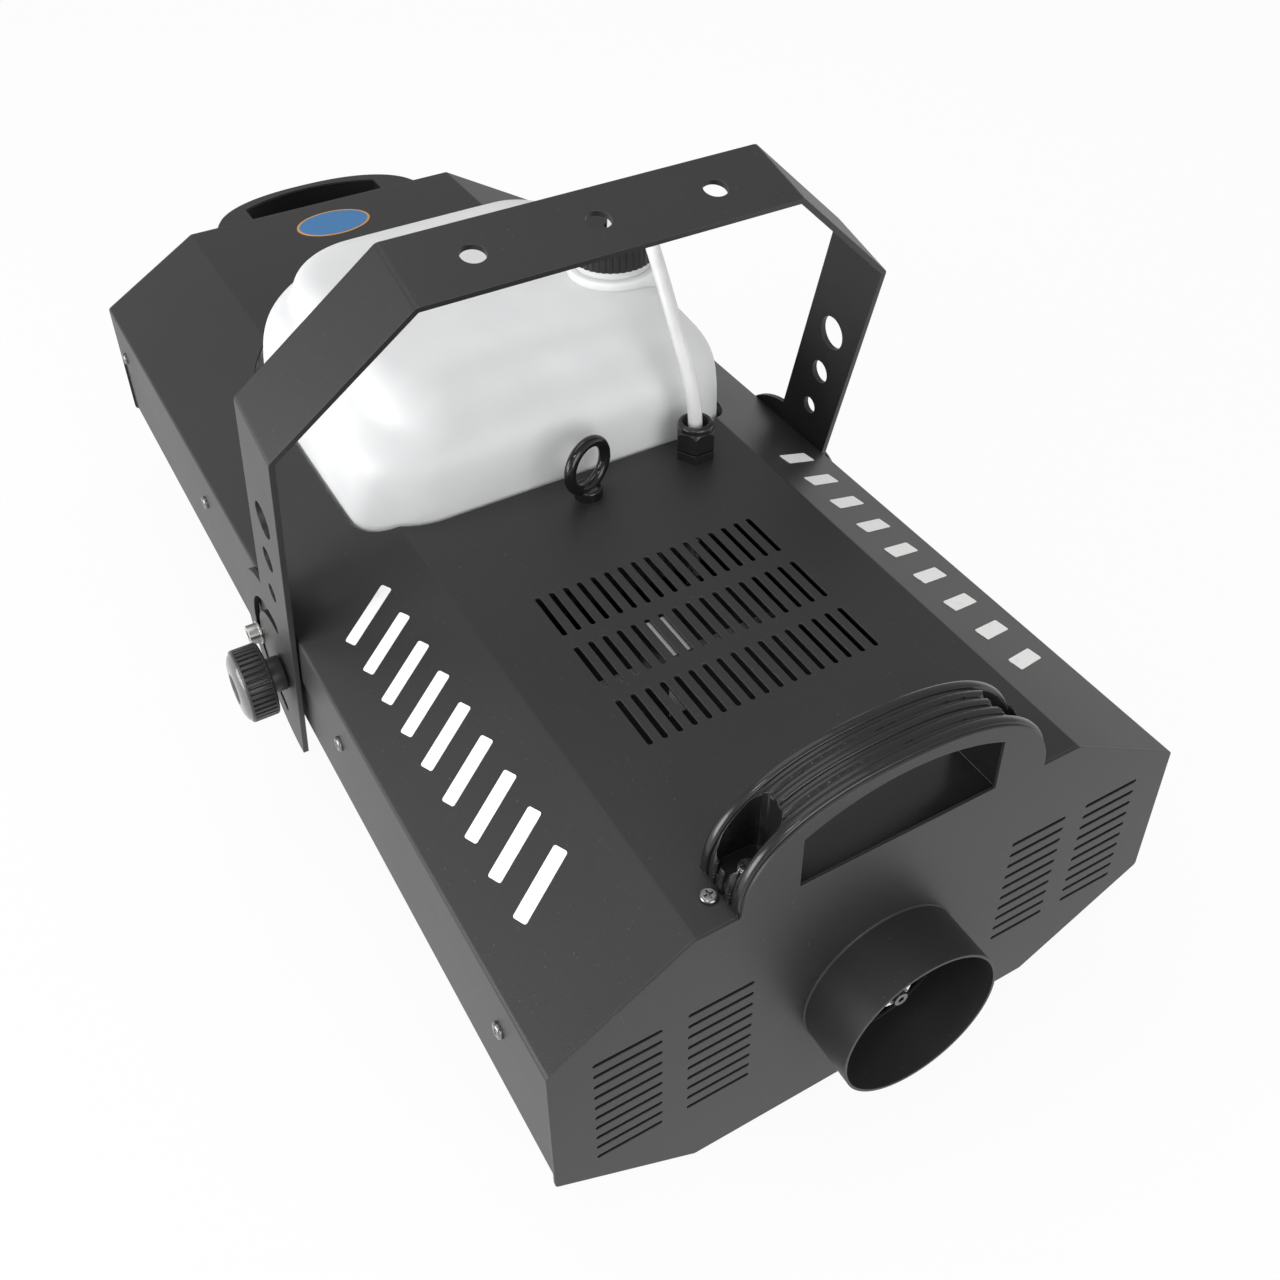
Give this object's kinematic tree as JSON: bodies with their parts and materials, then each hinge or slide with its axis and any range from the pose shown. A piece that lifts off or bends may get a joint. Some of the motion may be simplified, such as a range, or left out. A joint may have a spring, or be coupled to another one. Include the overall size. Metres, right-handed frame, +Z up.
{
  "type": "fog machine",
  "caption": "Fog machine in a long eight-sided sheet steel case with a nozzle tube, a top fluid tank, carrying handles and a tilting hanging yoke.",
  "frame": {"origin": "under the middle of the overall length and width, at the underside of the rubber feet", "axes": "+Z up, the nozzle faces -Y, +X is to the right when looking at the rear from the nozzle end along +Y"},
  "size_m": [0.393, 0.755, 0.3495],
  "materials": {
    "black_paint": "fine matt powder coat",
    "gloss_black": "glossy moulded plastic",
    "black_screw": "blackened steel",
    "rubber": "matt",
    "dark_steel": "machined, darkened by heat",
    "white_ring": "smooth heat-resistant plastic",
    "steel": "zinc plated",
    "galvanised": "galvanised sheet",
    "dark_aluminium": "cast, darkened by heat",
    "heat_black": "heat-proof black",
    "lagging": "pressed fibre",
    "black_enamel": "glossy black enamel",
    "natural_plastic": "translucent natural polyethylene",
    "black_plastic": "satin",
    "red_plastic": "glossy",
    "clear_hose": "translucent flexible tube",
    "filter": "sintered",
    "pump": "satin",
    "board": "circuit board",
    "board_parts": "moulded",
    "terminal": "moulded"
  },
  "bodies": {
    "case": {"board_parts": "board_parts", "board_posts": "steel", "bottom_tray": "black_paint", "control_board": "board", "cover_screws": "black_screw", "cover_stay": "steel", "eye_bolt": "black_enamel", "eye_nut": "steel", "feed_pipe": "steel", "fluid_tank": "natural_plastic", "foot_screws": "black_screw", "front_grip": "gloss_black", "front_panel": "black_paint", "fuse_holder": "black_plastic", "gland_body": "gloss_black", "gland_locknut": "gloss_black", "gland_nut": "gloss_black", "handle_screws": "black_screw", "heater_block": "dark_aluminium", "heater_case": "heat_black", "heater_elements": "steel", "heater_lagging": "lagging", "heater_legs": "steel", "heater_straps": "steel", "lock_screws": "steel", "nozzle_ring": "white_ring", "nozzle_shroud": "black_paint", "nozzle_tip": "dark_steel", "pickup_filter": "filter", "pivot_plates": "steel", "pivot_washers": "lagging", "power_inlet": "black_plastic", "pump_body": "pump", "pump_pads": "rubber", "rear_grip": "gloss_black", "rear_panel": "black_paint", "remote_socket": "black_plastic", "rubber_feet": "rubber", "signal_socket": "black_plastic", "steam_pipe": "steel", "suction_hose": "clear_hose", "switch_frame": "black_plastic", "tank_well": "galvanised", "terminal_block": "terminal", "thermal_fuse": "black_plastic", "thermostat": "steel", "top_cover": "black_paint", "well_brackets": "steel"},
    "yoke": {"yoke": "black_paint"},
    "left_knob": {"left_knob": "gloss_black"},
    "right_knob": {"right_knob": "gloss_black"},
    "tank_cap": {"tank_cap": "black_plastic"},
    "fuse_cap": {"fuse_cap": "black_plastic"},
    "rocker": {"rocker": "red_plastic"}
  },
  "joints": [
    {"name": "yoke_tilt", "type": "hinge", "parent": "case", "child": "yoke", "pos_m": [0, -0.031, 0.084], "axis": [1, 0, 0], "range_deg": [-70, 40]},
    {"name": "left_knob_turn", "type": "hinge", "parent": "case", "child": "left_knob", "pos_m": [-0.187, -0.031, 0.084], "axis": [-1, 0, 0], "range_deg": [-20, 540]},
    {"name": "right_knob_turn", "type": "hinge", "parent": "case", "child": "right_knob", "pos_m": [0.187, -0.031, 0.084], "axis": [1, 0, 0], "range_deg": [-20, 540]},
    {"name": "tank_cap_turn", "type": "hinge", "parent": "case", "child": "tank_cap", "pos_m": [0.082, 0.0385, 0.252], "axis": [0, 0, 1], "range_deg": [0, 540]},
    {"name": "fuse_cap_turn", "type": "hinge", "parent": "case", "child": "fuse_cap", "pos_m": [-0.055, 0.3345, 0.09], "axis": [0, 1, 0], "range_deg": [0, 90]},
    {"name": "power_switch_rock", "type": "hinge", "parent": "case", "child": "rocker", "pos_m": [0, 0.3245, 0.09], "axis": [1, 0, 0], "range_deg": [0, 16]}
  ]
}
